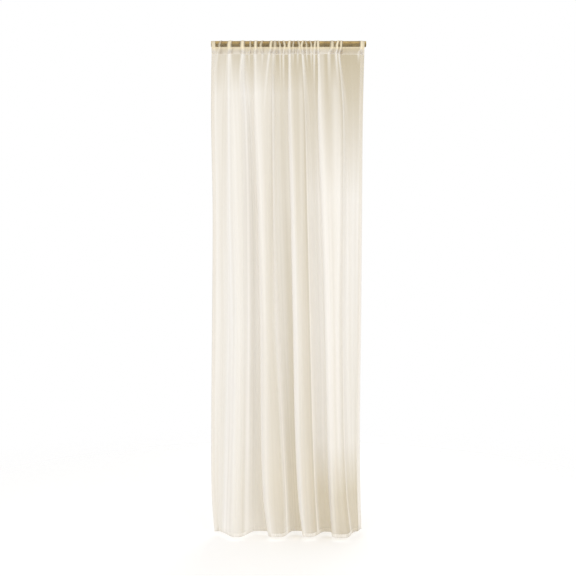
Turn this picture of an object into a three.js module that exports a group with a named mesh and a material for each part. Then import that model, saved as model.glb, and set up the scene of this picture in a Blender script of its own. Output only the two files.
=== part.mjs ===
// A sheer voile curtain gathered on a round rod.
// Sizes are in millimetres: +X runs along the rod to the right, -Y faces the room, +Z is up.
// The origin is the centre of the rod's left end face.

import * as THREE from "three";

// Rod
const ROD_RADIUS = 14.3;
const ROD_LENGTH = 760;
const ROD_SIDES = 48;

// Cloth: one panel whose top is turned over the rod and stitched to itself as a pocket
const SHEET = 1.2; // single cloth
const HEMMED = 2; // turned and stitched edges
const SIDE_HEM = 17;
const BOTTOM_HEM = 16;
const ROD_GAP = 0.3;
const SEAM_DEPTH = 50; // the pocket's stitch line, below the rod's axis
const HEM_DEPTH = 2393; // the curtain's lower edge, below the rod's axis

// Pocket: straight sides rise from the stitch line, then the cloth wraps the rod
const SIDE_PARTS = 3;
const WRAP_PARTS = 8;
const SEAM_OPENS = 2.2; // the two layers part this far above the stitch line
const TOP_SWELL = 0.35; // share of a gather that stands up over the top of the rod
const SEAM_SWELL = 0.7; // share of a gather left at the stitch line

// Hanging folds. Each column of these tables is one depth below the rod's axis.
const DEPTHS = [SEAM_DEPTH, 150, 375, 815, 1355, 1895, 2215, HEM_DEPTH];
const GROWTH = [0.1, 0.3, 0.55, 0.75, 0.88, 0.94, 0.98, 1]; // share of the folds' full depth
const LAP_GROWTH = [0, 0.35, 0.7, 0.9, 1, 1, 0.9, 0.5]; // share of the folds' full lap
const LEFT_EDGE = [2, 0, -1, 7, 4, 0, 3, 16];
const RIGHT_EDGE = [752, 750, 746, 743, 739, 733, 736, 741];
const RIGHT_EDGE_CURL = -40; // the right edge turns away from the room at the hem
const SEAM_HALF = 8.5; // half the width of a slope where it starts, at the stitch line
const CROWN = 5; // a fold's face is this much rounder than flat at the hem
const HOLLOW = -6; // and so is the hollow between two folds

// A fold comes forward across its left line and goes back across its right line.
// rise: how far the cloth comes forward there at the hem; half: half the slope's width at the hem;
// lap: how far the slope folds back sideways over itself.
const LINES = [
  { x: [88, 88, 88, 92, 100, 90, 82, 77], rise: 86, half: 42, lap: 0 },
  { x: [157, 157, 170, 181, 186, 184, 180, 181], rise: -86, half: 38, lap: 0 },
  { x: [213, 212, 215, 234, 248, 252, 262, 281], rise: 88, half: 17, lap: 13 },
  { x: [304, 304, 304, 308, 326, 353, 369, 375], rise: -88, half: 30, lap: 3 },
  { x: [380, 380, 383, 397, 410, 420, 434, 450], rise: 85, half: 9, lap: 14 },
  { x: [448, 453, 463, 473, 486, 499, 512, 524], rise: -72, half: 38, lap: 3 },
  { x: [524, 524, 526, 541, 558, 570, 580, 590], rise: 84, half: 13, lap: 13 },
  { x: [630, 636, 649, 649, 645, 650, 664, 684], rise: -95, half: 30, lap: 3 },
];

// Small gathers on the rod.
// x: place along the rod; half: half width; proud: height off the rod; drop: how far it runs down.
const GATHERS = [
  { x: 37, half: 6, proud: 5, drop: 150 },
  { x: 90, half: 10, proud: 8, drop: 320 },
  { x: 156, half: 9, proud: 8, drop: 420 },
  { x: 190, half: 5, proud: 5, drop: 110 },
  { x: 217, half: 7, proud: 8, drop: 420 },
  { x: 248, half: 6, proud: 6, drop: 120 },
  { x: 288, half: 7, proud: 7, drop: 450 },
  { x: 312, half: 7, proud: 6, drop: 200 },
  { x: 337, half: 5, proud: 6, drop: 260 },
  { x: 356, half: 6, proud: 7, drop: 260 },
  { x: 383, half: 7, proud: 9, drop: 450 },
  { x: 402, half: 5, proud: 5, drop: 90 },
  { x: 428, half: 6, proud: 6, drop: 120 },
  { x: 448, half: 6, proud: 8, drop: 400 },
  { x: 467, half: 5, proud: 6, drop: 100 },
  { x: 489, half: 5, proud: 6, drop: 120 },
  { x: 507, half: 6, proud: 7, drop: 300 },
  { x: 525, half: 7, proud: 9, drop: 450 },
  { x: 586, half: 9, proud: 6, drop: 300 },
  { x: 615, half: 7, proud: 9, drop: 240 },
  { x: 632, half: 6, proud: 8, drop: 420 },
];

// Facets: the rows run across the panel and the columns run down it
const ROW_DEPTHS = [
  SEAM_DEPTH, 66, 100, 150, 240, 375, 595, 815, 1085, 1355, 1625, 1895, 2100,
  2270, HEM_DEPTH - BOTTOM_HEM, HEM_DEPTH,
];
const WIDEST_COLUMN = 24;
const NARROWEST_COLUMN = 3;
const LINE_COLUMNS = [-1, -0.5, 0, 0.5, 1]; // places across each slope, in half widths
const GATHER_COLUMNS = [-1, 0, 1];

const smooth = (t) => t * t * (3 - 2 * t);
const clamp01 = (t) => Math.min(1, Math.max(0, t));
const lerp = (a, b, t) => a + (b - a) * t;

// A table's value at any depth, as a smooth curve through its columns.
function atDepth(values, depth) {
  const last = DEPTHS.length - 1;
  if (depth <= DEPTHS[0]) return values[0];
  if (depth >= DEPTHS[last]) return values[last];
  const i = DEPTHS.findIndex((d) => d > depth) - 1;
  const slope = (a, b) => (values[b] - values[a]) / (DEPTHS[b] - DEPTHS[a]);
  const span = DEPTHS[i + 1] - DEPTHS[i];
  const t = (depth - DEPTHS[i]) / span;
  const leave = slope(Math.max(i - 1, 0), i + 1) * span;
  const arrive = slope(i, Math.min(i + 2, last)) * span;
  return (
    lerp(values[i], values[i + 1], smooth(t)) +
    leave * t * (1 - t) * (1 - t) -
    arrive * t * t * (1 - t)
  );
}

// Half the width of a slope at a depth: narrow at the stitch line, full at the hem.
const halfAt = (line, depth) => lerp(SEAM_HALF, line.half, atDepth(GROWTH, depth));

// The places that every column keeps its share between: the two edges and both ends of each slope.
function stopsAt(depth) {
  const slopes = LINES.flatMap((line) => {
    const x = atDepth(line.x, depth);
    const half = halfAt(line, depth);
    return [x - half, x + half];
  });
  return [atDepth(LEFT_EDGE, depth), ...slopes, atDepth(RIGHT_EDGE, depth)];
}

// Where the column that meets the stitch line at x0 has come to at a depth: its place across the folds,
// and how far a slope's lap moves it sideways from there.
function columnAt(x0, depth) {
  const from = stopsAt(SEAM_DEPTH);
  const to = stopsAt(depth);
  const i = Math.min(from.findLastIndex((s) => s <= x0), from.length - 2);
  const share = (x0 - from[i]) / (from[i + 1] - from[i]);
  const slope = i % 2 === 1 ? LINES[(i - 1) / 2] : undefined;
  const full = (slope?.lap ?? 0) * atDepth(LAP_GROWTH, depth);
  return { x: lerp(to[i], to[i + 1], share), lap: full * Math.sin(2 * Math.PI * share) };
}

// How far the hanging folds stand forward at a place and a depth.
function foldsOut(x, depth) {
  let out = 0;
  LINES.forEach((line, i) => {
    const start = atDepth(line.x, depth);
    const half = halfAt(line, depth);
    out += line.rise * smooth(clamp01((x - start + half) / (2 * half)));
    if (i === LINES.length - 1) return;
    const across = clamp01((x - start) / (atDepth(LINES[i + 1].x, depth) - start));
    out += 4 * across * (1 - across) * (line.rise > 0 ? CROWN : HOLLOW);
  });
  const [foot, edge] = stopsAt(depth).slice(-2);
  out += RIGHT_EDGE_CURL * smooth(clamp01((x - foot) / (edge - foot)));
  return out * atDepth(GROWTH, depth);
}

// How far the gathers stand off the rod at a place along it.
function gathersOut(x0, depth) {
  let out = 0;
  for (const gather of GATHERS) {
    const near = 1 - Math.abs(x0 - gather.x) / (1.5 * gather.half);
    const left = 1 - (depth - SEAM_DEPTH) / gather.drop;
    out += gather.proud * smooth(clamp01(near)) * clamp01(left) ** 2;
  }
  return out;
}

const seamOut = (x0) => foldsOut(x0, SEAM_DEPTH) + SEAM_SWELL * gathersOut(x0, SEAM_DEPTH);

// A column for each slope and gather, with more where they lie far apart.
function columnPlaces() {
  const left = LEFT_EDGE[0];
  const right = RIGHT_EDGE[0];
  const places = [left, left + SIDE_HEM, right - SIDE_HEM, right];
  for (const line of LINES) {
    for (const share of LINE_COLUMNS) places.push(line.x[0] + share * SEAM_HALF);
  }
  for (const gather of GATHERS) {
    for (const share of GATHER_COLUMNS) {
      const x = gather.x + share * gather.half;
      const room = Math.min(...places.map((place) => Math.abs(place - x)));
      if (room > NARROWEST_COLUMN && x > left) places.push(x);
    }
  }
  places.sort((a, b) => a - b);
  return places.flatMap((x, i) => {
    const next = places[i + 1] ?? x;
    const parts = Math.max(1, Math.ceil((next - x) / WIDEST_COLUMN));
    return Array.from({ length: parts }, (_, k) => lerp(x, next, k / parts));
  });
}

// A row of the panel below the stitch line, as points on the middle of the cloth.
function hangingRow(depth, places) {
  return {
    depth,
    outward: new THREE.Vector3(0, -1, 0),
    points: places.map((x0) => {
      const { x, lap } = columnAt(x0, depth);
      const swell = depth > SEAM_DEPTH ? SEAM_SWELL * gathersOut(x0, depth) : 0;
      const out = depth > SEAM_DEPTH ? foldsOut(x, depth) + swell : seamOut(x0);
      return new THREE.Vector3(x + lap, -out, -depth);
    }),
  };
}

// The pocket's rows from the stitch line up the front, over the rod and down the back.
function pocketRows(places) {
  const wrapStep = (angle) => (2 * Math.PI - 2 * angle) / WRAP_PARTS;
  // The wrap's corners lie outside the rod, so that the flats between them clear it.
  const clear = ROD_RADIUS + ROD_GAP;
  const halfStep = wrapStep(Math.acos(clear / SEAM_DEPTH)) / 2;
  const radius = clear / Math.cos(halfStep) + SHEET / 2;
  const start = Math.acos(radius / SEAM_DEPTH); // where the sides touch the wrap, up from straight down
  const sections = [];
  const sideSection = (share, side) => ({
    y: side * share * radius * Math.sin(start),
    z: lerp(-SEAM_DEPTH, -radius * Math.cos(start), share),
    normal: start,
    side,
    onRod: share,
    swell: share,
  });
  for (let i = 1; i < SIDE_PARTS; i++) sections.push(sideSection(i / SIDE_PARTS, -1));
  for (let i = 0; i <= WRAP_PARTS; i++) {
    const angle = start + i * wrapStep(start);
    sections.push({
      y: -radius * Math.sin(angle),
      z: -radius * Math.cos(angle),
      normal: angle,
      side: -1,
      onRod: 1,
      swell: lerp(1, TOP_SWELL, Math.sin((Math.PI * i) / WRAP_PARTS)),
    });
  }
  for (let i = SIDE_PARTS - 1; i > 0; i--) sections.push(sideSection(i / SIDE_PARTS, 1));
  return sections.map(({ y, z, normal, side, onRod, swell }) => {
    const outward = new THREE.Vector3(0, side * Math.sin(normal), -Math.cos(normal));
    const points = places.map((x0) => {
      const point = new THREE.Vector3(x0, y - seamOut(x0) * (1 - onRod) ** 3, z);
      const extra = (thicknessAt(SEAM_DEPTH, x0) - SHEET) / 2; // a hem thickens away from the rod
      return point.addScaledVector(outward, swell * gathersOut(x0, SEAM_DEPTH) + onRod * extra);
    });
    return { depth: SEAM_DEPTH, outward, points };
  });
}

function thicknessAt(depth, x0) {
  const atSide = Math.min(x0 - LEFT_EDGE[0], RIGHT_EDGE[0] - x0) < SIDE_HEM;
  const atBottom = depth > HEM_DEPTH - BOTTOM_HEM;
  return atSide || atBottom ? HEMMED : SHEET;
}

// One face of the cloth: a row moved along its own normals to the room side (+1) or the far side (-1).
function faceOf(row, places, side) {
  return row.points.map((point, i) => {
    const before = row.points[Math.max(i - 1, 0)];
    const after = row.points[Math.min(i + 1, row.points.length - 1)];
    const along = after.clone().sub(before);
    const normal = row.outward.clone().multiplyScalar(along.x);
    normal.x -= along.dot(row.outward);
    normal.normalize();
    return point.clone().addScaledVector(normal, (side * thicknessAt(row.depth, places[i])) / 2);
  });
}

function clothGeometry() {
  const places = columnPlaces();
  const hanging = ROW_DEPTHS.map((depth) => hangingRow(depth, places));
  const pocket = pocketRows(places);
  const front = hanging.map((row) => faceOf(row, places, 1));
  const back = hanging.map((row) => faceOf(row, places, -1));
  const outside = pocket.map((row) => faceOf(row, places, 1));
  const inside = pocket.map((row) => faceOf(row, places, -1));
  const crotch = hanging[0].points.map((p) => p.clone().setZ(p.z + SEAM_OPENS));

  const rows = [...front.toReversed(), ...outside, ...back, crotch, ...inside];
  const count = places.length;
  const vertices = rows.flat();
  const corner = (row, column) => rows.indexOf(row) * count + column;
  const index = [];
  const quad = (a, b, c, d) => index.push(a, b, c, a, c, d);

  // Two rows that lie side by side, the second above the first as seen from outside
  const strip = (lower, upper) => {
    for (let i = 0; i < count - 1; i++) {
      quad(corner(lower, i), corner(lower, i + 1), corner(upper, i + 1), corner(upper, i));
    }
  };
  const shell = [...front.toReversed(), ...outside, ...back];
  shell.forEach((row, i) => strip(row, shell[(i + 1) % shell.length]));
  const lining = [crotch, ...inside];
  lining.forEach((row, i) => strip(lining[(i + 1) % lining.length], row));

  // The cut edges at the left and the right
  const edge = (column, ...ring) => {
    const corners = ring.map((row) => corner(row, column));
    if (column > 0) corners.reverse();
    index.push(corners[0], corners[1], corners[2]);
    if (corners.length > 3) index.push(corners[0], corners[2], corners[3]);
  };
  const outer = [front[0], ...outside, back[0]];
  const inner = [crotch, ...inside, crotch];
  for (const column of [0, count - 1]) {
    for (let i = 1; i < front.length; i++) edge(column, front[i], front[i - 1], back[i - 1], back[i]);
    edge(column, front[0], crotch, back[0]);
    edge(column, outer[0], outer[1], inner[1], inner[0]);
    for (let i = 1; i < outer.length - 2; i++) edge(column, outer[i], outer[i + 1], inner[i + 1], inner[i]);
    edge(column, outer.at(-2), outer.at(-1), inner.at(-1), inner.at(-2));
  }

  const geometry = new THREE.BufferGeometry().setFromPoints(vertices);
  geometry.setIndex(index);
  geometry.computeVertexNormals();
  return geometry;
}

function makeCurtain() {
  const voile = new THREE.MeshStandardMaterial({
    color: 0xede5d5,
    roughness: 0.85,
    metalness: 0,
    transparent: true,
    opacity: 0.6,
    side: THREE.DoubleSide,
  });
  const curtain = new THREE.Mesh(clothGeometry(), voile);
  curtain.name = "curtain";
  return curtain;
}

function makeRod() {
  const brass = new THREE.MeshStandardMaterial({ color: 0x8c7446, roughness: 0.38, metalness: 0.85 });
  const rod = new THREE.Mesh(
    new THREE.CylinderGeometry(ROD_RADIUS, ROD_RADIUS, ROD_LENGTH, ROD_SIDES),
    brass,
  );
  rod.name = "rod";
  rod.rotation.z = Math.PI / 2;
  rod.position.x = ROD_LENGTH / 2;
  return rod;
}

const part = new THREE.Group();
part.add(makeRod(), makeCurtain());

export default part;
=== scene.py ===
"""A sheer voile curtain gathered on an antique brass rod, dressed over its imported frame."""

import math
from collections import namedtuple

import bpy
import numpy as np
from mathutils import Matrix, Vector


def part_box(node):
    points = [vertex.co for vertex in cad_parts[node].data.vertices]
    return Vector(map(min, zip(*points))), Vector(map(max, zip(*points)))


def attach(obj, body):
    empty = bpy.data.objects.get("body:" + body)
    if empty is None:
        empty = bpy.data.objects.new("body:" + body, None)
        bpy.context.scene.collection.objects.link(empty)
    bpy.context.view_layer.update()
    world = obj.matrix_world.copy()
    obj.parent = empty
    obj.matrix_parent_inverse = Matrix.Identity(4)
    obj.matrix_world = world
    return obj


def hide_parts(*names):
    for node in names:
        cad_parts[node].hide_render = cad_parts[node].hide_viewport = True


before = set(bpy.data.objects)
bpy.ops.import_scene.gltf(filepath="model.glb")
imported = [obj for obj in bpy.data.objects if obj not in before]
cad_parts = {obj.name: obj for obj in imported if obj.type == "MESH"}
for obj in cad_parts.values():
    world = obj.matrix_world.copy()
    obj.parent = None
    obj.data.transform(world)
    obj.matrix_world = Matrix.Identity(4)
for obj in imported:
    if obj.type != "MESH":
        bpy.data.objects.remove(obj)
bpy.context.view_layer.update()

MM = 0.001

# Sizes of the cloth and the rod are in millimetres, in the frame's axes: +X along the rod, -Y to the room,
# +Z up. A depth is measured down from the rod's axis.
ROD_LOW, ROD_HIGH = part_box("rod")
ROD_RADIUS = (ROD_HIGH.z - ROD_LOW.z) / 2 / MM

# The cloth
CLOTH_GAP = 0.9  # from the rod to the middle of the cloth
LAYER = 0.4  # between the layers of a hem
SIDE_HEM = 17
BOTTOM_HEM = 16
TURNING = 9  # the raw edge turned in along the pocket's stitch line
SEAM_DEPTH = 50
HEM_DEPTH = 2393

# The hanging folds. Each column is one depth.
DEPTHS = np.array([SEAM_DEPTH, 150, 375, 815, 1355, 1895, 2215, HEM_DEPTH], float)
GROWTH = [0.1, 0.3, 0.55, 0.75, 0.88, 0.94, 0.98, 1]  # share of the folds' full height and width
LAP_GROWTH = [0, 0.35, 0.7, 0.9, 1, 1, 0.9, 0.5]  # share of the laps' full width
LEFT_EDGE = [2, 0, -1, 7, 4, 0, 3, 16]
RIGHT_EDGE = [752, 750, 746, 743, 739, 733, 736, 741]
RIGHT_EDGE_CURL = -40  # how far the right edge turns away from the room
SEAM_HALF = 8.5  # half a slope's width at the stitch line
CROWN = 5  # how far a fold's front bows out
HOLLOW = -6  # how far the cloth between two folds bows back

# Each row is one line of the folds, from the left.
# x at each depth; rise: step towards the room at the hem; half: half the slope's width at the hem;
# lap: how far the slope folds back over itself.
LINES = [
    dict(x=[88, 88, 88, 92, 100, 90, 82, 77], rise=86, half=42, lap=0),
    dict(x=[157, 157, 170, 181, 186, 184, 180, 181], rise=-86, half=38, lap=0),
    dict(x=[213, 212, 215, 234, 248, 252, 262, 281], rise=88, half=17, lap=13),
    dict(x=[304, 304, 304, 308, 326, 353, 369, 375], rise=-88, half=30, lap=3),
    dict(x=[380, 380, 383, 397, 410, 420, 434, 450], rise=85, half=9, lap=14),
    dict(x=[448, 453, 463, 473, 486, 499, 512, 524], rise=-72, half=38, lap=3),
    dict(x=[524, 524, 526, 541, 558, 570, 580, 590], rise=84, half=13, lap=13),
    dict(x=[630, 636, 649, 649, 645, 650, 664, 684], rise=-95, half=30, lap=3),
]
DEEP_LAP = 10  # a line with a wider lap than this stays dense for a quarter of its slope

# Small gathers. seam and rod: place at the stitch line and on the front of the rod; lean: sideways lean
# over the rod; half: half width; proud: height off the rod; drop: how far it runs down; drift: how far it
# strays sideways as it runs down; dense: how solid it looks.
GATHERS = [
    dict(seam=31, rod=43, lean=12, half=5, proud=5, drop=150, drift=-14, dense=0.55),
    dict(seam=87, rod=90, lean=8, half=9, proud=8, drop=320, drift=-3, dense=1),
    dict(seam=157, rod=154, lean=2, half=9, proud=8, drop=420, drift=-16, dense=0.95),
    dict(seam=186, rod=192, lean=0, half=4, proud=5, drop=110, drift=0, dense=0.7),
    dict(seam=214, rod=218, lean=2, half=7, proud=8, drop=420, drift=0, dense=1),
    dict(seam=252, rod=246, lean=12, half=5, proud=6, drop=120, drift=0, dense=0.7),
    dict(seam=285, rod=293, lean=6, half=6, proud=7, drop=450, drift=-34, dense=1),
    dict(seam=308, rod=313, lean=0, half=7, proud=6, drop=200, drift=-4, dense=0.65),
    dict(seam=338, rod=336, lean=-10, half=4, proud=6, drop=260, drift=0, dense=0.85),
    dict(seam=354, rod=359, lean=-10, half=5, proud=7, drop=260, drift=0, dense=0.9),
    dict(seam=384, rod=383, lean=6, half=7, proud=9, drop=450, drift=0, dense=1),
    dict(seam=402, rod=403, lean=6, half=4, proud=5, drop=90, drift=0, dense=0.7),
    dict(seam=425, rod=431, lean=-11, half=5, proud=6, drop=120, drift=0, dense=0.8),
    dict(seam=450, rod=446, lean=9, half=5, proud=8, drop=400, drift=4, dense=1),
    dict(seam=468, rod=466, lean=-10, half=4, proud=6, drop=100, drift=0, dense=0.75),
    dict(seam=490, rod=489, lean=-11, half=4, proud=6, drop=120, drift=0, dense=0.75),
    dict(seam=506, rod=509, lean=5, half=5, proud=7, drop=300, drift=-4, dense=0.9),
    dict(seam=526, rod=524, lean=0, half=6, proud=9, drop=450, drift=3, dense=1),
    dict(seam=577, rod=593, lean=0, half=8, proud=6, drop=300, drift=0, dense=0.8),
    dict(seam=612, rod=619, lean=11, half=6, proud=9, drop=240, drift=10, dense=1),
    dict(seam=627, rod=637, lean=2, half=5, proud=8, drop=420, drift=18, dense=1),
    dict(seam=724, rod=736, lean=0, half=6, proud=3, drop=60, drift=0, dense=0.6),
]
SEAM_SWELL = 0.7  # share of a gather's height at the stitch line
TOP_SWELL = 0.35  # share of a gather's height on top of the rod
GATHER_REACH = 1.5  # how far a gather's slopes reach, in its half widths
DENSE_POWER = 0.6  # below 1, a gather looks dense wider than it stands out

# Small ripples in the cloth. length: from crest to crest; height: how far they stand out; reach: how
# far a pucker runs from its stitch line; slant: how far a wave strays sideways in a metre; run: how far
# apart its strong stretches are; start: its first angle.
SEAM_PUCKER = dict(length=8.5, height=0.55, reach=16)
HEM_PUCKER = dict(length=15, height=0.9, reach=34)
# Puckers are uneven. amount: how far their places wander; run and start: over which length, from which angle
WANDERS = [dict(amount=1.7, run=37, start=0.6), dict(amount=1.1, run=17.3, start=0)]
# Their strength goes up and down. middle and swing: about which share and by how much
STRENGTH = dict(middle=0.65, swing=0.35, run=23, start=1)
WAVES = [
    dict(length=41, height=0.7, slant=14, run=760, start=0.4),
    dict(length=23, height=0.25, slant=-9, run=520, start=1.7),
    dict(length=67, height=1.1, slant=-22, run=1150, start=2.9),
]
WAVE_MARGIN = 160  # the waves fade out this far from the stitch line and the hem

# How dense the cloth looks: 0 is clear and 1 is solid. Each row goes with one line of the folds, and each
# column is one depth. edge: along the line; level: what it thins to before the next line; sharp and fade:
# how far the edge reaches to the left and to the right of the line. low: what share of the way the edge and
# the level have come at LOW_DEPTH, from the last column but one to the last, and how much more the level is.
COVER_DEPTHS = [70, 250, 750, 1400, 2200]
LOW_DEPTH = 1950
EVEN_SHARE = 0.69  # how far an even change has come at LOW_DEPTH
COVERS = [
    dict(
        edge=[0.66, 1, 0.96, 0.98, 1],
        level=[0.35, 0.67, 0.68, 0.72, 0.63],
        sharp=[6, 6, 8, 16, 20],
        fade=[12, 14, 40, 60, 40],
        low=dict(edge=EVEN_SHARE, level=EVEN_SHARE, more=0.01),
    ),
    dict(
        edge=[0.57, 1, 0.91, 0.96, 0.9],
        level=[0.33, 0.73, 0.72, 0.74, 0.62],
        sharp=[10, 10, 12, 12, 14],
        fade=[10, 14, 20, 24, 20],
        low=dict(edge=EVEN_SHARE, level=EVEN_SHARE, more=0.03),
    ),
    dict(
        edge=[0.56, 0.87, 0.93, 0.97, 0.94],
        level=[0.42, 0.66, 0.62, 0.5, 0.48],
        sharp=[4, 4, 4, 4, 4],
        fade=[10, 14, 16, 20, 20],
        low=dict(edge=EVEN_SHARE, level=EVEN_SHARE, more=0.04),
    ),
    dict(
        edge=[0.4, 1, 1, 1, 1],
        level=[0.22, 0.53, 0.62, 0.45, 0.43],
        sharp=[5, 5, 5, 20, 12],
        fade=[7, 7, 13, 30, 13],
        low=dict(edge=EVEN_SHARE, level=EVEN_SHARE, more=-0.03),
    ),
    dict(
        edge=[0.54, 0.93, 1, 1, 0.91],
        level=[0.26, 0.44, 0.47, 0.52, 0.45],
        sharp=[3, 3, 3, 3, 3],
        fade=[7, 8, 12, 15, 17],
        low=dict(edge=EVEN_SHARE, level=EVEN_SHARE, more=0),
    ),
    # This line and the two after it are denser, and so brighter, at 750 and 1400 and thin out late after
    # LOW_DEPTH: a painted pool of light from behind the right part of the cloth, which ends above the hem.
    dict(
        edge=[0.52, 0.75, 1, 0.98, 0.92],
        level=[0.2, 0.43, 0.77, 0.81, 0.42],
        sharp=[5, 5, 5, 6, 6],
        fade=[7, 7, 8, 9, 9],
        low=dict(edge=0.3, level=0.15, more=0),
    ),
    dict(
        edge=[0.47, 0.87, 0.92, 0.96, 0.75],
        level=[0.2, 0.33, 0.75, 0.78, 0.39],
        sharp=[3, 3, 3, 4, 4],
        fade=[7, 9, 13, 15, 15],
        low=dict(edge=0.3, level=0.15, more=0),
    ),
    dict(
        edge=[0.31, 0.93, 1, 1, 0.79],
        level=[0.2, 0.32, 0.8, 0.82, 0.38],
        sharp=[5, 5, 6, 6, 5],
        fade=[6, 7, 8, 9, 7],
        low=dict(edge=0.3, level=0.15, more=0),
    ),
]

# The same at the left of the first line, and in the side hems
LEFT_COVER = [0.46, 0.73, 0.81, 0.85, 0.82]
LEFT_HEM_COVER = [0.6, 0.68, 0.78, 0.78, 0.78]
RIGHT_HEM_COVER = [0.42, 0.5, 0.78, 0.78, 0.78]

# Soft bands where the cloth is denser or thinner than its neighbours. x: place; half: half width;
# more: how much denser, at the same depths.
COVER_BANDS = [
    dict(x=[38, 53, 53, 53, 33], half=18, more=[0, -0.08, -0.14, -0.12, -0.08]),
    dict(x=[437, 440, 441, 441, 441], half=11, more=[0, 0.12, 0.1, 0.03, 0]),
    dict(x=[545, 548, 548, 548, 548], half=12, more=[0.2, 0.08, 0, 0, 0]),
    dict(x=[600, 606, 615, 620, 620], half=24, more=[0.05, 0.22, 0.06, 0, 0]),
]

# The pocket and the cloth over the rod. A FROM is a height: 0 is the stitch line and 1 the rod's lower edge.
POCKET_PLACES = [0, 250, 590, 650]  # along the rod
POCKET_COVER = [0.52, 0.57, 0.58, 0.36]
TURNING_MORE = 0.08  # how much denser the pocket looks where the raw edge is turned in
POCKET_BACK_COVER = 0.14
POCKET_HEM_COVER = 0.7
UNDER_ROD_FROM = 0.78
UNDER_ROD_COVER = 0.6
BRASS_FROM = 0.87
BRASS_SPAN = 0.08
ROD_COVER = 0.1
HEM_ON_ROD_COVER = 0.7
# From here up, the cloth's colour warms with painted light bounced off the brass.
WARM_FROM = 0.3  # where the cloth begins to take the brass's tone
WARM_SPAN = 0.6

# The bottom hem, the layers inside the hems, and the gathers
BOTTOM_HEM_COVER = 0.9
# The hem is thinner at the folds' backs than on their fronts: painted shade between the folds.
BOTTOM_HEM_SHADED_SHARES = (0.15, 0.8)  # how much of it shows at the back and on the folds' fronts
FOLD_FRONT = 80  # from this far forward the hem shows most
# Painted highlights on the hem's puckers, as small denser spots along it.
HEM_HIGHLIGHT_STEP = 12.5  # from one denser spot of the bottom hem to the next
BEAD_HIGHLIGHT_MORE = 0.08
TURNED_COVER = 0.06  # each layer inside a hem: the outer one carries most of the hem's look
BUNCHED_COVER = 0.95
HANGING_BUNCH = 0.8  # how much of a gather's density is left below the stitch line
MOST_COVER = 0.96

# The mesh
COLUMN_STEP = 3.2
FEWEST_COLUMNS = 3  # between two stops
HEM_PROBES = 40  # points that measure the hem between two stops
SIDE_ROWS = 9
WRAP_ROWS = 24
MIDDLE_STEPS = 4  # across a hem's middle layer, which ends in the raw edge
BACK_STEPS = 5  # across a hem's back layer
RAW_EDGE_SHORT = 2  # how far the raw edge stops from the hem's outer fold
INNER_FOLD_SHORT = 0.5  # how far the middle layer stops from the hem's inner fold
SIDE_FOLD_SHORT = 0.4  # how far the back layer stops from a side hem's outer fold
BOTTOM_FOLD_SHORT = 0.5  # the same in the bottom hem
# Stretches of rows down the cloth, and the rows about the bottom hem, from the hem's inner edge
STRETCHES = [
    dict(top=SEAM_DEPTH, bottom=110, step=3.0),
    dict(top=110, bottom=400, step=10.0),
    dict(top=400, bottom=HEM_DEPTH - BOTTOM_HEM - 12, step=24.0),
]
HEM_ROWS = [-10, -1, 0, 4, 8, 12, BOTTOM_HEM]
NORMAL_STEP = 0.4  # a normal is taken between the points this far to each side
ROD_FOOT = 1 - ROD_RADIUS / SEAM_DEPTH  # the climb at which the rod begins

# A row of points across the cloth. y and z: its place before the folds and gathers; out_y and out_z: which
# way it faces there; pull: its share of the folds' height; swell: its share of a gather's height; climb:
# its height above the stitch line, 1 being the rod's axis; behind: how far it lies behind the front layer.
Row = namedtuple("Row", "depth y z out_y out_z pull swell climb behind")


def smooth(t):
    t = np.clip(t, 0, 1)
    return t * t * (3 - 2 * t)


def lerp(a, b, t):
    return a + (b - a) * t


def unit(vectors):
    return vectors / np.linalg.norm(vectors, axis=-1, keepdims=True)


def length_along(points):
    """The length of a line of points from its first to each of them."""
    return np.concatenate([[0], np.cumsum(np.linalg.norm(np.diff(points, axis=0), axis=-1))])


def at_depth(values, depth):
    """A table's value at each depth, as a smooth curve through its columns."""
    values = np.asarray(values, float)
    depth = np.clip(depth, DEPTHS[0], DEPTHS[-1])
    i = np.clip(np.searchsorted(DEPTHS, depth, side="right") - 1, 0, len(DEPTHS) - 2)
    before, after = np.maximum(i - 1, 0), np.minimum(i + 2, len(DEPTHS) - 1)
    span = DEPTHS[i + 1] - DEPTHS[i]
    t = (depth - DEPTHS[i]) / span
    leave = (values[i + 1] - values[before]) / (DEPTHS[i + 1] - DEPTHS[before]) * span
    arrive = (values[after] - values[i]) / (DEPTHS[after] - DEPTHS[i]) * span
    return lerp(values[i], values[i + 1], smooth(t)) + leave * t * (1 - t) ** 2 - arrive * t**2 * (1 - t)


def half_at(line, depth):
    return lerp(SEAM_HALF, line["half"], at_depth(GROWTH, depth))


def stops_at(depth):
    """The places that a column keeps its share between, one row for each depth."""
    left, right = at_depth(LEFT_EDGE, depth), at_depth(RIGHT_EDGE, depth)
    stops = [left, left + SIDE_HEM]
    for line in LINES:
        x, half = at_depth(line["x"], depth), half_at(line, depth)
        stops += [x - half, x + half]
    return np.stack([*stops, right - SIDE_HEM, right], axis=-1)


SEAM_STOPS = stops_at(np.array([float(SEAM_DEPTH)]))[0]
STOP_LAPS = np.zeros(len(SEAM_STOPS) - 1)
STOP_LAPS[2:-1:2] = [line["lap"] for line in LINES]


def folds_out(x, depth):
    """How far the hanging folds stand forward, for places x at depths of the same shape."""
    out = np.zeros_like(x)
    for i, line in enumerate(LINES):
        start, half = at_depth(line["x"], depth), half_at(line, depth)
        out += line["rise"] * smooth((x - start + half) / (2 * half))
        if i + 1 < len(LINES):
            across = np.clip((x - start) / (at_depth(LINES[i + 1]["x"], depth) - start), 0, 1)
            out += 4 * across * (1 - across) * (CROWN if line["rise"] > 0 else HOLLOW)
    foot = at_depth(LINES[-1]["x"], depth) + half_at(LINES[-1], depth)
    edge = at_depth(RIGHT_EDGE, depth)
    out += RIGHT_EDGE_CURL * smooth((x - foot) / (edge - foot))
    return out * at_depth(GROWTH, depth)


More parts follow.
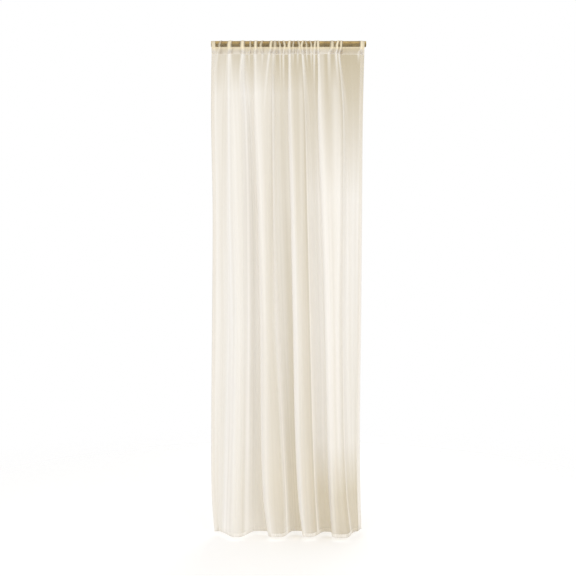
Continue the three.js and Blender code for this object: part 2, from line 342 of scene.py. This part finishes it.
def hanging(x0, depth):
    """Where the columns that meet the stitch line at x0 are at each depth: x, lap and how far forward."""
    i = np.clip(np.searchsorted(SEAM_STOPS, x0, side="right") - 1, 0, len(SEAM_STOPS) - 2)
    share = (x0 - SEAM_STOPS[i]) / (SEAM_STOPS[i + 1] - SEAM_STOPS[i])
    stops = stops_at(depth)
    x = lerp(stops[:, i], stops[:, i + 1], share)
    column_depth = np.broadcast_to(depth[:, None], x.shape)
    lap = STOP_LAPS[i] * np.sin(2 * math.pi * share) * at_depth(LAP_GROWTH, column_depth)
    return x, lap, folds_out(x, column_depth)


def gathering(x0, rows):
    """How proud the gathers are, and how dense they make the cloth, for each row and column."""
    proud = np.zeros((len(rows.depth), len(x0)))
    bunched = np.zeros_like(proud)
    over_rod = np.clip((rows.climb - ROD_FOOT) / (2 - 2 * ROD_FOOT), 0, 1) - 0.5
    for g in GATHERS:
        down = (rows.depth - SEAM_DEPTH) / g["drop"]
        centre = lerp(g["seam"], g["rod"], smooth(rows.climb / ROD_FOOT)) + g["drift"] * np.clip(down, 0, 1)
        centre += g["lean"] * over_rod * smooth(2 * rows.climb - 1)
        left = np.clip(1 - down, 0, 1) ** 2
        near = smooth(1 - abs(x0[None, :] - centre[:, None]) / (GATHER_REACH * g["half"]))
        proud += g["proud"] * near * left[:, None]
        bunched = np.maximum(bunched, near**DENSE_POWER * g["dense"] * left[:, None])
    return proud, bunched


def puckers(across, pull, pucker):
    """Uneven small waves along a stitch line, as strong as pull."""
    wander = sum(w["amount"] * np.sin(across / w["run"] + w["start"]) for w in WANDERS)
    wave = np.sin(across * 2 * math.pi / pucker["length"] + wander)
    strength = STRENGTH["middle"] + STRENGTH["swing"] * np.sin(across / STRENGTH["run"] + STRENGTH["start"])
    return pucker["height"] * pull * wave * strength


def ripples(x0, rows):
    """Puckers along the stitch lines, and faint waves down the cloth."""
    across, down = x0[None, :], rows.depth[:, None]
    above = np.clip(rows.climb, 0, 1)[:, None] * SEAM_DEPTH
    seam_pull = np.exp(-((down - SEAM_DEPTH) + above) / SEAM_PUCKER["reach"])
    hem_pull = np.exp(-np.maximum(HEM_DEPTH - BOTTOM_HEM - down, 0) / HEM_PUCKER["reach"])
    out = puckers(across, seam_pull, SEAM_PUCKER) + puckers(across, hem_pull, HEM_PUCKER)
    loose = smooth((down - SEAM_DEPTH) / WAVE_MARGIN) * smooth((HEM_DEPTH - down) / WAVE_MARGIN)
    for wave in WAVES:
        slant = across + wave["slant"] * down / 1000
        swing = np.sin(2 * math.pi * slant / wave["length"] + wave["start"])
        fades = 0.5 + 0.5 * np.sin(2 * math.pi * down / wave["run"] + 3 * wave["start"])
        out += wave["height"] * loose * swing * fades
    return out


def column_places():
    """Places along the stitch line, spaced for the longer of the heading and the hem."""
    hem = np.array([float(HEM_DEPTH)])
    places = []
    for a, b in zip(SEAM_STOPS, SEAM_STOPS[1:]):
        x, _, out = hanging(np.linspace(a, b, HEM_PROBES), hem)
        longest = max(b - a, np.hypot(np.diff(x[0]), np.diff(out[0])).sum())
        count = max(FEWEST_COLUMNS, round(longest / COLUMN_STEP))
        places += list(np.linspace(a, b, count, endpoint=False))
    return np.array([*places, SEAM_STOPS[-1]])


def hemmed_columns():
    """The columns in the order in which the cloth runs across, and how far each lies behind the front."""
    places = column_places()
    middle = np.linspace(RAW_EDGE_SHORT, SIDE_HEM - INNER_FOLD_SHORT, MIDDLE_STEPS)
    back = np.linspace(SIDE_HEM, SIDE_FOLD_SHORT, BACK_STEPS)
    turns = np.concatenate([middle, back])
    behind = np.concatenate([np.full(MIDDLE_STEPS, LAYER), np.full(BACK_STEPS, 2 * LAYER)])
    x0 = np.concatenate([places[0] + turns, places, places[-1] - turns[::-1]])
    return x0, np.concatenate([behind, np.zeros(len(places)), behind[::-1]])


def hanging_row(depth, behind=0):
    return Row(depth, 0, -depth, -1, 0, 1, SEAM_SWELL, 0, behind)


def as_arrays(rows):
    """A list of rows as one Row of arrays."""
    return Row(*np.array(rows, float).T)


def depth_steps():
    """Row depths from the hem up to the stitch line: close together where the cloth changes most."""
    down = [np.arange(stretch["top"], stretch["bottom"], stretch["step"]) for stretch in STRETCHES]
    return np.concatenate([*down, HEM_DEPTH - BOTTOM_HEM + np.array(HEM_ROWS)])[::-1]


def pocket_rows():
    """Rows up the pocket's front from its stitch line, over the rod, and down its back, where the climb
    stays at its highest."""
    radius = ROD_RADIUS + CLOTH_GAP
    start = math.acos(radius / SEAM_DEPTH)
    touch_y, touch_z = radius * math.sin(start), -radius * math.cos(start)
    over_top = 1 + radius / SEAM_DEPTH
    rows = []
    for i in range(1, SIDE_ROWS):
        share = i / SIDE_ROWS
        y, z = -touch_y * share, lerp(-SEAM_DEPTH, touch_z, share)
        out_y, out_z = -math.sin(start), -math.cos(start)
        pull, swell = (1 - share) ** 3, lerp(SEAM_SWELL, 1, share)
        rows.append(Row(SEAM_DEPTH, y, z, out_y, out_z, pull, swell, 1 + z / SEAM_DEPTH, 0))
    for i in range(WRAP_ROWS + 1):
        share = i / WRAP_ROWS
        angle = start + share * (2 * math.pi - 2 * start)
        out_y, out_z = -math.sin(angle), -math.cos(angle)
        y, z = radius * out_y, radius * out_z
        climb = 1 + z / SEAM_DEPTH if y < 0 else over_top
        swell = lerp(1, TOP_SWELL, math.sin(math.pi * share))
        rows.append(Row(SEAM_DEPTH, y, z, out_y, out_z, 0, swell, climb, 0))
    for i in range(SIDE_ROWS - 1, -1, -1):
        share = i / SIDE_ROWS
        y, z = touch_y * share + LAYER * (1 - share), lerp(-SEAM_DEPTH, touch_z, share)
        out_y, out_z = math.sin(start), -math.cos(start)
        rows.append(Row(SEAM_DEPTH, y, z, out_y, out_z, (1 - share) ** 3, share, over_top, 0))
    return rows


def panel_rows():
    """The rows in the order in which the cloth runs, from the hem's raw edge to the pocket's."""
    inner_edge = HEM_DEPTH - BOTTOM_HEM
    middle = np.linspace(HEM_DEPTH - RAW_EDGE_SHORT, inner_edge + INNER_FOLD_SHORT, MIDDLE_STEPS)
    back = np.linspace(inner_edge, HEM_DEPTH - BOTTOM_FOLD_SHORT, BACK_STEPS)
    rows = [hanging_row(depth, LAYER) for depth in middle]
    rows += [hanging_row(depth, 2 * LAYER) for depth in back]
    rows += [hanging_row(depth) for depth in depth_steps()]
    return as_arrays(rows + pocket_rows())


def panel_points(x0, rows):
    """Points on the front layer of the cloth, for each row and column."""
    x, lap, out = hanging(x0, rows.depth)
    proud = gathering(x0, rows)[0]
    ripple = ripples(x0, rows)
    hangs = (rows.pull == 1)[:, None]
    pocket = (rows.depth == SEAM_DEPTH)[:, None] & ~hangs
    forward = np.where(hangs, out + proud * rows.swell[:, None] + ripple, 0)
    seam_out = out + SEAM_SWELL * proud + ripple
    forward = np.where(pocket, seam_out * rows.pull[:, None], forward)
    lift = np.where(pocket, proud * rows.swell[:, None], 0)
    y = rows.y[:, None] - forward + rows.out_y[:, None] * lift
    z = rows.z[:, None] + rows.out_z[:, None] * lift
    return np.stack([x + lap, y, z], axis=-1)


def panel_normals(x0, rows):
    along = panel_points(x0 + NORMAL_STEP, rows) - panel_points(x0 - NORMAL_STEP, rows)
    outward = np.stack([rows.out_y, rows.out_z], axis=-1)[:, None, :]
    rise = (along[..., 1:] * outward).sum(-1)
    return unit(np.stack([-rise, outward[..., 0] * along[..., 0], outward[..., 1] * along[..., 0]], axis=-1))


def cover_at(values, depth, share=EVEN_SHARE, more=0, digits=2):
    """A table's value at each depth. The one at LOW_DEPTH is worked out, and rounded as the others are."""
    low = round(lerp(values[-2], values[-1], share) + more, digits)
    depths = [*COVER_DEPTHS[:-1], LOW_DEPTH, COVER_DEPTHS[-1]]
    return np.interp(depth, depths, [*values[:-1], low, values[-1]])


def hanging_cover(x, depth):
    """How dense the hanging cloth looks at places x, before any lap, for each row and column."""
    depth = depth[:, None]
    cover = cover_at(LEFT_COVER, depth) * np.ones_like(x)
    for line, sheer in zip(LINES, COVERS):
        past = x - at_depth(line["x"], depth)
        low = sheer["low"]
        level = cover_at(sheer["level"], depth, share=low["level"], more=low["more"])
        edge = cover_at(sheer["edge"], depth, share=low["edge"])
        sharp, fade = (cover_at(sheer[key], depth, digits=0) for key in ("sharp", "fade"))
        cover = lerp(cover, level, smooth(past / (2 * sharp) + 0.5))
        turn = half_at(line, depth) / 2 if line["lap"] > DEEP_LAP else 0
        near = np.where(past < 0, np.exp(-((past / sharp) ** 2)), np.exp(-np.maximum(past - turn, 0) / fade))
        cover = np.maximum(cover, lerp(cover, edge, near))
    for band in COVER_BANDS:
        near = np.exp(-(((x - cover_at(band["x"], depth, digits=0)) / band["half"]) ** 2))
        cover += cover_at(band["more"], depth) * near
    return cover


def pocket_cover(x0, rows, to_rod):
    """How dense the pocket looks, front and back, up to the rod's lower edge."""
    turned = (-rows.z > SEAM_DEPTH - TURNING)[:, None]
    cover = np.interp(x0, POCKET_PLACES, POCKET_COVER)[None, :] + TURNING_MORE * turned
    cover = np.where(to_rod > UNDER_ROD_FROM, UNDER_ROD_COVER, cover)
    return np.where((rows.y > 0)[:, None], POCKET_BACK_COVER, cover)


def bottom_hem_cover(cover, x0, points):
    """How dense the bottom hem looks over the cloth: most on the folds' fronts, with painted shade at their
    backs, and small denser spots that are painted highlights on its puckers.
    """
    in_front = smooth(-points[..., 1] / FOLD_FRONT)
    bead_highlights = BEAD_HIGHLIGHT_MORE * np.sin(2 * math.pi * x0 / HEM_HIGHLIGHT_STEP) * in_front
    return lerp(cover, BOTTOM_HEM_COVER, lerp(*BOTTOM_HEM_SHADED_SHARES, in_front)) + bead_highlights


def in_left_hem(x0):
    return x0 - SEAM_STOPS[0] <= SIDE_HEM


def in_right_hem(x0):
    return SEAM_STOPS[-1] - x0 <= SIDE_HEM


def in_side_hem(x0):
    return in_left_hem(x0) | in_right_hem(x0)


def panel_cover(x0, rows, points, behind):
    """How dense the cloth looks at each row and column."""
    above_seam = (rows.depth == SEAM_DEPTH)[:, None]
    to_rod = (rows.climb / ROD_FOOT)[:, None]
    over_brass = smooth((to_rod - BRASS_FROM) / BRASS_SPAN)

    cover = hanging_cover(hanging(x0, rows.depth)[0], rows.depth)
    cover = np.where(above_seam, lerp(pocket_cover(x0, rows, to_rod), ROD_COVER, over_brass), cover)
    in_bottom_hem = (rows.depth >= HEM_DEPTH - BOTTOM_HEM)[:, None]
    cover = np.where(in_bottom_hem, bottom_hem_cover(cover, x0, points), cover)

    left_hem = cover_at(LEFT_HEM_COVER, rows.depth)[:, None]
    right_hem = cover_at(RIGHT_HEM_COVER, rows.depth)[:, None]
    side_hem = np.where(above_seam, POCKET_HEM_COVER, np.where(in_left_hem(x0), left_hem, right_hem))
    faces_room = (rows.y <= 0)[:, None]
    cover = np.where(in_side_hem(x0) & faces_room, lerp(side_hem, HEM_ON_ROD_COVER, over_brass), cover)

    bunched = gathering(x0, rows)[1]
    bunched = np.where(above_seam, bunched, bunched * HANGING_BUNCH)
    cover = lerp(cover, BUNCHED_COVER, np.clip(bunched, 0, 1))
    return np.where(behind > 0, TURNED_COVER, np.minimum(cover, MOST_COVER))


def grid_mesh(name, points, attributes, keep):
    """A quad grid as a mesh in metres, with float attributes on its points. keep picks its quads."""
    rows, cols = points.shape[:2]
    index = np.arange(rows * cols).reshape(rows, cols)
    quads = np.stack([index[:-1, :-1], index[:-1, 1:], index[1:, 1:], index[1:, :-1]], axis=-1)[keep]
    mesh = bpy.data.meshes.new(name)
    mesh.from_pydata((points.reshape(-1, 3) * MM).tolist(), [], quads.tolist())
    for key, values in attributes.items():
        kind, field = ("FLOAT", "value") if values.ndim == 2 else ("FLOAT_VECTOR", "vector")
        layer = mesh.attributes.new(key, kind, "POINT")
        layer.data.foreach_set(field, values.reshape(-1).astype(np.float32))
    mesh.polygons.foreach_set("use_smooth", np.ones(len(quads), bool))
    mesh.update()
    return mesh


def add_object(mesh, material):
    mesh.materials.append(material)
    obj = bpy.data.objects.new(mesh.name, mesh)
    bpy.context.scene.collection.objects.link(obj)
    return obj


def make_panel(material):
    """The panel as one sheet with its hems turned in. Its attributes are cover, which is how dense it
    looks, on_rod, which is how near it is to the brass and how much painted light bounced off it the cloth
    takes, and thread, which is a place on the flat cloth."""
    x0, column_behind = hemmed_columns()
    rows = panel_rows()
    behind = rows.behind[:, None] + column_behind[None, :]
    points = panel_points(x0, rows) - panel_normals(x0, rows) * behind[..., None]

    on_rod = smooth((rows.climb / ROD_FOOT - WARM_FROM) / WARM_SPAN)[:, None]
    across = length_along(points[len(points) // 3])[None, :]
    down = length_along(points[:, len(x0) // 2])[:, None]
    attributes = dict(
        cover=panel_cover(x0, rows, points, behind),
        on_rod=np.broadcast_to(on_rod, behind.shape),
        thread=np.stack(np.broadcast_arrays(across, down, np.zeros((1, 1))), axis=-1),
    )
    # The side hems' layers hide the bottom hem's in the two corners
    in_corner = (rows.behind > 0)[:, None] & in_side_hem(x0)[None, :]
    keep = ~(in_corner[:-1, :-1] & in_corner[1:, 1:])
    return add_object(grid_mesh("voile_panel", points, attributes, keep), material)


# The stitches. first: from the line's end to the first; above: how far a thread's middle stands off the
# cloth; inset: from the stitch line or the hem's inner edge.
STITCH = dict(first=1, length=2.8, step=3.4, radius=0.2, above=0.3, inset=1.2, sides=5)
# The lines they follow. step: between a line's points; top, bottom and sides: how far it stops from the
# stitch line, the hem and the side edges.
ACROSS_LINE = dict(step=0.8, sides=1)
DOWN_LINE = dict(step=1.0, top=4, bottom=3)
# The rings of one stitch. share: along it; height and width: shares of above and radius.
STITCH_RINGS = [
    dict(share=0, height=-0.9, width=0.5),
    dict(share=0.18, height=0.6, width=1),
    dict(share=0.5, height=1, width=1.05),
    dict(share=0.82, height=0.6, width=1),
    dict(share=1, height=-0.9, width=0.5),
]


def stitch_lines():
    """The stitched lines as points and normals: the pocket's seam, and the hems' inner edges."""
    left, right, inset = SEAM_STOPS[0], SEAM_STOPS[-1], STITCH["inset"]
    lines = []
    x0 = np.arange(left + ACROSS_LINE["sides"], right - ACROSS_LINE["sides"], ACROSS_LINE["step"])
    for depth in (SEAM_DEPTH + inset, HEM_DEPTH - BOTTOM_HEM + inset):
        row = as_arrays([hanging_row(depth)])
        lines.append((panel_points(x0, row)[0], panel_normals(x0, row)[0]))
    top, bottom = SEAM_DEPTH + DOWN_LINE["top"], HEM_DEPTH - DOWN_LINE["bottom"]
    rows = as_arrays([hanging_row(depth) for depth in np.arange(top, bottom, DOWN_LINE["step"])])
    for x in (left + SIDE_HEM - inset, right - SIDE_HEM + inset):
        column = np.array([x])
        lines.append((panel_points(column, rows)[:, 0], panel_normals(column, rows)[:, 0]))
    return lines


def stitches_on(points, normals):
    """Short threads along a line, each dipping into the cloth at both ends: stitch, ring, side, xyz."""
    shares, heights, widths = (
        np.array([ring[key] for ring in STITCH_RINGS]) for key in ("share", "height", "width")
    )
    run = length_along(points)
    starts = np.arange(STITCH["first"], run[-1] - STITCH["step"], STITCH["step"])
    at = starts[:, None] + STITCH["length"] * shares[None, :]
    middle = np.stack([np.interp(at, run, points[:, i]) for i in range(3)], axis=-1)
    out = unit(np.stack([np.interp(at, run, normals[:, i]) for i in range(3)], axis=-1))
    side = unit(np.cross(out, middle[:, -1:] - middle[:, :1]))
    middle = middle + out * (STITCH["above"] * heights)[None, :, None]
    turn = np.linspace(0, 2 * math.pi, STITCH["sides"], endpoint=False)
    ring = np.cos(turn)[:, None] * side[:, :, None, :] + np.sin(turn)[:, None] * out[:, :, None, :]
    return middle[:, :, None, :] + ring * (STITCH["radius"] * widths)[None, :, None, None]


def make_stitching(material):
    verts, faces, base = [], [], 0
    for points, normals in stitch_lines():
        threads = stitches_on(points, normals)
        index = base + np.arange(threads[..., 0].size).reshape(threads.shape[:3])
        nearby = np.roll(index, -1, axis=2)
        quads = np.stack([index[:, :-1], nearby[:, :-1], nearby[:, 1:], index[:, 1:]], axis=-1)
        faces += quads.reshape(-1, 4).tolist()
        faces += index[:, 0, ::-1].tolist() + index[:, -1].tolist()
        verts.append(threads.reshape(-1, 3))
        base += index.size
    mesh = bpy.data.meshes.new("voile_stitching")
    mesh.from_pydata((np.concatenate(verts) * MM).tolist(), [], faces)
    mesh.polygons.foreach_set("use_smooth", np.ones(len(faces), bool))
    return add_object(mesh, material)


def node(tree, kind, **settings):
    """A new node. Settings named after an input set it, and the others are the node's own."""
    made = tree.nodes.new(kind)
    for key, value in settings.items():
        name = key.replace("_", " ").title()
        if name in made.inputs:
            made.inputs[name].default_value = value
        else:
            setattr(made, key, value)
    return made


def fed_node(tree, kind, source, entry, result, **settings):
    """The result socket of a new node whose entry socket is linked to source."""
    made = node(tree, kind, **settings)
    tree.links.new(source, made.inputs[entry])
    return made.outputs[result]


def attribute(tree, name):
    return node(tree, "ShaderNodeAttribute", attribute_name=name).outputs


def scaled(tree, place, scale):
    return fed_node(tree, "ShaderNodeMapping", place, "Vector", "Vector", scale=scale)


def noise(tree, place, **settings):
    return fed_node(tree, "ShaderNodeTexNoise", place, "Vector", "Fac", **settings)


def remap(tree, value, **settings):
    return fed_node(tree, "ShaderNodeMapRange", value, "Value", "Result", **settings)


def bumps(tree, height, **settings):
    return fed_node(tree, "ShaderNodeBump", height, "Height", "Normal", **settings)


def ramp(tree, factor, stops):
    """A color ramp through (position, color) stops, from the lowest to the highest."""
    made = node(tree, "ShaderNodeValToRGB")
    elements = made.color_ramp.elements
    for element, (position, color) in zip(elements, (stops[0], stops[-1])):
        element.position = position
        element.color = color
    for position, color in stops[1:-1]:
        elements.new(position).color = color
    tree.links.new(factor, made.inputs["Fac"])
    return made.outputs["Color"]


def blend(tree, share, first, second):
    made = node(tree, "ShaderNodeMix", data_type="FLOAT", factor=share)
    tree.links.new(first, made.inputs["A"])
    tree.links.new(second, made.inputs["B"])
    return made.outputs["Result"]


def combine(tree, operation, first, second, **settings):
    made = node(tree, "ShaderNodeMath", operation=operation, **settings)
    tree.links.new(first, made.inputs[0])
    tree.links.new(second, made.inputs[1])
    return made.outputs["Value"]


def mix_shaders(tree, share, first, second):
    made = node(tree, "ShaderNodeMixShader")
    tree.links.new(share, made.inputs["Fac"])
    tree.links.new(first, made.inputs[1])
    tree.links.new(second, made.inputs[2])
    return made.outputs["Shader"]


def new_material(name):
    material = bpy.data.materials.new(name)
    material.use_nodes = True
    tree = material.node_tree
    tree.nodes.clear()
    return material, tree


def show(tree, shader, kind="ShaderNodeOutputMaterial"):
    tree.links.new(shader, node(tree, kind).inputs["Surface"])


IVORY = (0.905, 0.892, 0.876, 1)
# Painted light bounced off the brass: the cloth's colour over the rod, also used as the tint of its sheen.
IVORY_PAINTED_BRASS_BOUNCE = (0.95, 0.85, 0.63, 1)
IVORY_GLOW = (0.915, 0.897, 0.868, 1)

# What the gaps between the threads let through, by how dense the cloth looks
HIDDEN_TINT = (0.98, 0.97, 0.95, 1)
THIN_TINT = (0.88, 0.84, 0.74, 1)
# Painted shade: what shows through denser cloth is a dim tan, as a shaded beige room behind would look.
ROOM_SHADE_TINT = (0.505, 0.415, 0.24, 1)
THICK_COVER = 0.2

# The share of light that the cloth passes on from behind, hanging and over the rod
GLOW_HANGING = 0.42
GLOW_ON_ROD = 0.04


def weave(tree, thread):
    """The fine relief of warp and weft."""
    relief = dict(wave_type="BANDS", scale=0.55, distortion=0.6, detail=1.0)
    warp = fed_node(tree, "ShaderNodeTexWave", thread, "Vector", "Fac", bands_direction="X", **relief)
    weft = fed_node(tree, "ShaderNodeTexWave", thread, "Vector", "Fac", bands_direction="Y", **relief)
    return bumps(tree, combine(tree, "ADD", warp, weft), strength=0.12, distance=0.0002)


def unevenness(tree, thread):
    """Long streaks and slubs along the warp, as a factor on how dense the cloth looks."""
    streaks = noise(tree, scaled(tree, thread, (0.045, 0.0006, 1)), scale=1.0, detail=2.0, roughness=0.45)
    slubs = noise(tree, scaled(tree, thread, (0.1, 0.0009, 1)), scale=1.0, detail=1.0, roughness=0.5)
    both = blend(tree, 0.25, streaks, slubs)
    return remap(tree, both, from_min=0.3, from_max=0.7, to_min=0.88, to_max=1.1)


def voile_material():
    material, tree = new_material("ivory_voile")
    thread = attribute(tree, "thread")["Vector"]
    cover = attribute(tree, "cover")["Fac"]
    on_rod = attribute(tree, "on_rod")["Fac"]
    normal = weave(tree, thread)

    cloth = node(tree, "ShaderNodeBsdfPrincipled", roughness=0.72, sheen_weight=0.25, sheen_roughness=0.45)
    cloth.inputs["Sheen Tint"].default_value = IVORY_PAINTED_BRASS_BOUNCE
    cloth.inputs["Specular IOR Level"].default_value = 0.25
    # Painted light bounced off the brass: the cloth's colour warms as it nears the rod.
    tree.links.new(ramp(tree, on_rod, [(0, IVORY), (1, IVORY_PAINTED_BRASS_BOUNCE)]), cloth.inputs["Base Color"])
    tree.links.new(normal, cloth.inputs["Normal"])
    glow = fed_node(tree, "ShaderNodeBsdfTranslucent", normal, "Normal", "BSDF", color=IVORY_GLOW)
    from_behind = remap(tree, on_rod, to_min=GLOW_HANGING, to_max=GLOW_ON_ROD)
    body = mix_shaders(tree, from_behind, cloth.outputs["BSDF"], glow)

    tint = ramp(tree, cover, [(TURNED_COVER, HIDDEN_TINT), (ROD_COVER, THIN_TINT), (THICK_COVER, ROOM_SHADE_TINT)])
    gaps = fed_node(tree, "ShaderNodeBsdfTransparent", tint, "Color", "BSDF")
    density = combine(tree, "MULTIPLY", cover, unevenness(tree, thread), use_clamp=True)
    show(tree, mix_shaders(tree, density, gaps, body))
    return material


DARK_THREAD = (0.80, 0.75, 0.65, 1)
PALE_THREAD = (0.93, 0.90, 0.83, 1)


def thread_material():
    material, tree = new_material("ivory_thread")
    place = node(tree, "ShaderNodeTexCoord").outputs["Object"]
    twist = noise(tree, place, scale=900.0, detail=2.0, roughness=0.5)
    tone = ramp(tree, twist, [(0.3, DARK_THREAD), (0.7, PALE_THREAD)])
    normal = bumps(tree, twist, strength=0.3, distance=0.0001)
    thread = node(tree, "ShaderNodeBsdfPrincipled", roughness=0.6, sheen_weight=0.3)
    tree.links.new(tone, thread.inputs["Base Color"])
    tree.links.new(normal, thread.inputs["Normal"])
    show(tree, thread.outputs["BSDF"])
    return material


DARK_BRASS = (0.42, 0.26, 0.06, 1)
WORN_BRASS = (0.98, 0.75, 0.31, 1)


def grey(level):
    return (level, level, level, 1)


def brass_material():
    """Antique brass: drawn streaks and tarnished patches, with painted shade that is darkest underneath, a
    painted highlight across the upper middle and a darker top.
    """
    material, tree = new_material("antique_brass")
    place = node(tree, "ShaderNodeTexCoord").outputs["Object"]
    streaks = noise(tree, scaled(tree, place, (4, 90, 90)), scale=5.0, detail=5.0, roughness=0.6)
    patches = noise(tree, place, scale=34.0, detail=4.0, roughness=0.6)
    grime = blend(tree, 0.45, patches, streaks)
    tarnish = ramp(tree, grime, [(0.36, DARK_BRASS), (0.62, WORN_BRASS)])

    height = fed_node(tree, "ShaderNodeSeparateXYZ", place, "Vector", "Z")
    up_the_rod = remap(tree, height, from_min=-ROD_RADIUS * MM, from_max=ROD_RADIUS * MM)
    # Painted shade and highlight by height on the rod: darkest underneath, brightest across the upper middle,
    # darker again on top.
    painted_shade_and_highlight = ramp(tree, up_the_rod, [(0.35, grey(0.3)), (0.66, grey(1)), (0.98, grey(0.55))])
    tarnish_and_painted_shade = node(tree, "ShaderNodeVectorMath", operation="SCALE")
    tree.links.new(tarnish, tarnish_and_painted_shade.inputs["Vector"])
    tree.links.new(painted_shade_and_highlight, tarnish_and_painted_shade.inputs["Scale"])

    metal = node(tree, "ShaderNodeBsdfPrincipled", metallic=0.9)
    tree.links.new(tarnish_and_painted_shade.outputs["Vector"], metal.inputs["Base Color"])
    tree.links.new(remap(tree, streaks, to_min=0.22, to_max=0.48), metal.inputs["Roughness"])
    tree.links.new(bumps(tree, grime, strength=0.2, distance=0.0003), metal.inputs["Normal"])
    show(tree, metal.outputs["BSDF"])
    return material


# The studio. Places and sizes are in metres, and the lens and its sensor in millimetres.
LENS = 50
SENSOR = 36
CAMERA_PLACE = (0.377, -3.93, -1.198)
FLOOR_MIDDLE = (0.38, 0, -2.41)
FLOOR_REACH = 3.2
FLOOR_FADE_FROM = 0.7
FLOOR_SIDES = 96
WHITE = (1, 1, 1, 1)
SOFT_WHITE = (1, 0.99, 0.975)
BACK_WHITE = (1, 0.99, 0.97)
LIGHTS = dict(
    key=dict(place=(-2.2, -3.0, -0.2), aim=(0.38, 0, -1.3), size=(1.8, 2.6), power=35, color=SOFT_WHITE),
    fill=dict(place=(2.6, -3.2, -1.4), aim=(0.5, 0, -1.6), size=(2.0, 2.4), power=50, color=SOFT_WHITE),
    back=dict(place=(0.9, 2.2, 0.3), aim=(0.38, 0, -1.1), size=(2.0, 2.0), power=25, color=BACK_WHITE),
)


def make_camera():
    data = bpy.data.cameras.new("camera")
    data.lens = LENS
    data.sensor_width = SENSOR
    camera = bpy.data.objects.new("camera", data)
    camera.location = CAMERA_PLACE
    camera.rotation_euler = (math.radians(90), 0, 0)
    bpy.context.scene.collection.objects.link(camera)
    bpy.context.scene.camera = camera


def make_light(name, place, aim, size, power, color):
    data = bpy.data.lights.new(name, "AREA")
    data.shape = "RECTANGLE"
    data.size, data.size_y = size
    data.energy = power
    data.color = color
    lamp = bpy.data.objects.new(name, data)
    lamp.location = place
    toward = Vector(np.subtract(aim, place))
    lamp.rotation_euler = toward.to_track_quat("-Z", "Y").to_euler()
    bpy.context.scene.collection.objects.link(lamp)


def make_world():
    """A white backdrop, which lights the scene a little less brightly than it looks."""
    world = bpy.data.worlds.new("studio")
    bpy.context.scene.world = world
    world.use_nodes = True
    tree = world.node_tree
    tree.nodes.clear()
    seen = node(tree, "ShaderNodeBackground", color=WHITE, strength=1.0)
    lit = node(tree, "ShaderNodeBackground", color=(*SOFT_WHITE, 1), strength=0.80)
    is_seen = node(tree, "ShaderNodeLightPath").outputs["Is Camera Ray"]
    backdrop = mix_shaders(tree, is_seen, lit.outputs["Background"], seen.outputs["Background"])
    show(tree, backdrop, "ShaderNodeOutputWorld")


def floor_material():
    """Pale paint that fades out into the backdrop."""
    material, tree = new_material("pale_floor")
    place = node(tree, "ShaderNodeTexCoord").outputs["Object"]
    distance = node(tree, "ShaderNodeVectorMath", operation="DISTANCE")
    distance.inputs[1].default_value = FLOOR_MIDDLE
    tree.links.new(place, distance.inputs[0])
    fade = remap(
        tree,
        distance.outputs["Value"],
        from_min=FLOOR_FADE_FROM,
        from_max=FLOOR_REACH,
        interpolation_type="SMOOTHSTEP",
    )
    paint = node(tree, "ShaderNodeBsdfPrincipled", base_color=grey(0.9), roughness=0.9)
    paint.inputs["Emission Color"].default_value = WHITE
    paint.inputs["Emission Strength"].default_value = 0.12
    clear = node(tree, "ShaderNodeBsdfTransparent")
    show(tree, mix_shaders(tree, fade, paint.outputs["BSDF"], clear.outputs["BSDF"]))
    return material


def make_floor():
    mesh = bpy.data.meshes.new("floor")
    middle_x, middle_y, floor_z = FLOOR_MIDDLE
    angles = [2 * math.pi * i / FLOOR_SIDES for i in range(FLOOR_SIDES)]
    around = [(FLOOR_REACH * math.cos(a), FLOOR_REACH * math.sin(a)) for a in angles]
    rim = [(x + middle_x, y + middle_y, floor_z) for x, y in around]
    mesh.from_pydata(rim, [], [list(range(FLOOR_SIDES))])
    add_object(mesh, floor_material())


make_camera()
make_world()
make_floor()
for light_name, light in LIGHTS.items():
    make_light(light_name, **light)
bpy.context.scene.view_settings.view_transform = "Standard"

panel = make_panel(voile_material())
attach(panel, "root")
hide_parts("curtain")

stitching = make_stitching(thread_material())
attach(stitching, "root")

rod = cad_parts["rod"]
rod.data.materials.clear()
rod.data.materials.append(brass_material())
